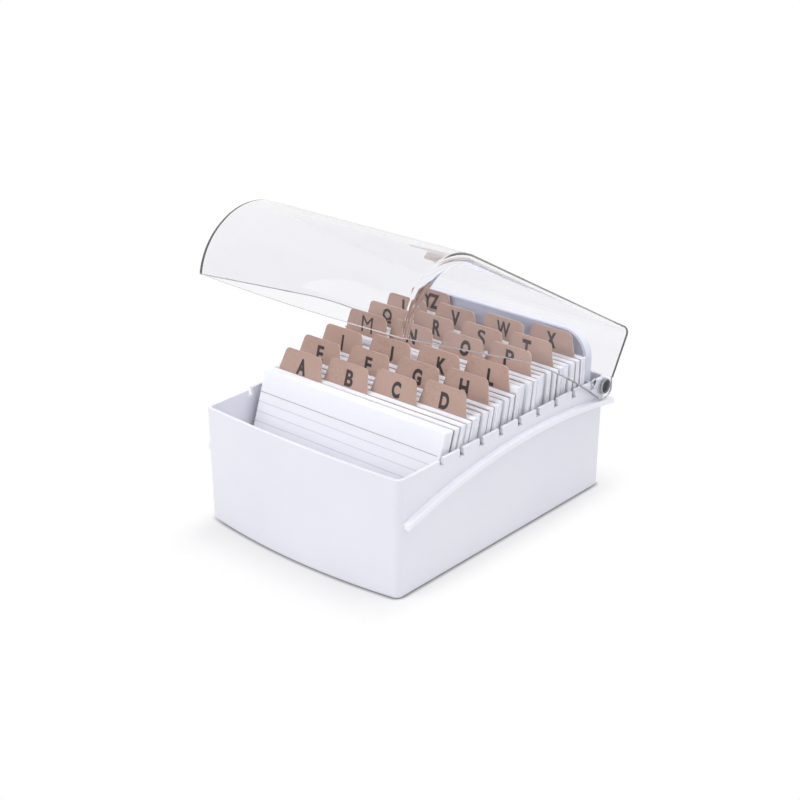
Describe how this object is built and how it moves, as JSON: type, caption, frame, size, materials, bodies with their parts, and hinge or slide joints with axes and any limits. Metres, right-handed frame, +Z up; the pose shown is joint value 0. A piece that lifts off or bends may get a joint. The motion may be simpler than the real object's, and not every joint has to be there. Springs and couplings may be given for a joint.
{
  "type": "index card file box with hinged lid",
  "caption": "Tapered white card tray with a hinged clear lid, holding tabbed alphabet guides and packs of index cards against a notched-in backrest plate.",
  "frame": {"origin": "middle of the tray's underside, half way between its front corners and its back", "axes": "+X to the right seen from the front, +Y from the front to the hinge, +Z up"},
  "size_m": [0.1466, 0.1902, 0.1676],
  "materials": {
    "tray_plastic": "white moulded plastic, satin gloss",
    "lid_clear": "clear moulded plastic",
    "plate_plastic": "white moulded plastic",
    "rivet_metal": "polished domed head",
    "guide_board": "matte kraft board",
    "card_paper": "matte white paper with thin ruled lines"
  },
  "bodies": {
    "tray": {"tray": "tray_plastic", "hinge_rivet_cap_right": "rivet_metal", "hinge_rivet_post_right": "rivet_metal", "hinge_rivet_cap_left": "rivet_metal", "hinge_rivet_post_left": "rivet_metal", "backrest_plate": "plate_plastic", "cards_rear": "card_paper", "guide_a": "guide_board", "guide_b": "guide_board", "guide_c": "guide_board", "guide_d": "guide_board", "guide_e": "guide_board", "guide_f": "guide_board", "guide_g": "guide_board", "guide_h": "guide_board", "guide_i": "guide_board", "guide_j": "guide_board", "guide_k": "guide_board", "guide_l": "guide_board", "guide_m": "guide_board", "guide_n": "guide_board", "guide_o": "guide_board", "guide_p": "guide_board", "guide_q": "guide_board", "guide_r": "guide_board", "guide_s": "guide_board", "guide_t": "guide_board", "guide_u": "guide_board", "guide_v": "guide_board", "guide_w": "guide_board", "guide_x": "guide_board", "guide_yz": "guide_board", "cards_behind_a": "card_paper", "cards_behind_b": "card_paper", "cards_behind_c": "card_paper", "cards_behind_d": "card_paper", "cards_behind_e": "card_paper", "cards_behind_f": "card_paper", "cards_behind_g": "card_paper", "cards_behind_h": "card_paper", "cards_behind_i": "card_paper", "cards_behind_j": "card_paper", "cards_behind_k": "card_paper", "cards_behind_l": "card_paper", "cards_behind_m": "card_paper", "cards_behind_n": "card_paper", "cards_behind_o": "card_paper", "cards_behind_p": "card_paper", "cards_behind_q": "card_paper", "cards_behind_r": "card_paper", "cards_behind_s": "card_paper", "cards_behind_t": "card_paper", "cards_behind_u": "card_paper", "cards_behind_v": "card_paper", "cards_behind_w": "card_paper", "cards_behind_x": "card_paper"},
    "lid": {"lid": "lid_clear"},
    "front_cards": {"cards_front": "card_paper"}
  },
  "joints": [
    {"name": "lid_hinge", "type": "hinge", "parent": "tray", "child": "lid", "pos_m": [0, 0.08, 0.0602], "axis": [-1, 0, 0], "range_deg": [-30.7, 62]},
    {"name": "front_cards_tip", "type": "hinge", "parent": "tray", "child": "front_cards", "pos_m": [0, -0.069, 0.0025], "axis": [1, 0, 0], "range_deg": [0, 24]}
  ]
}
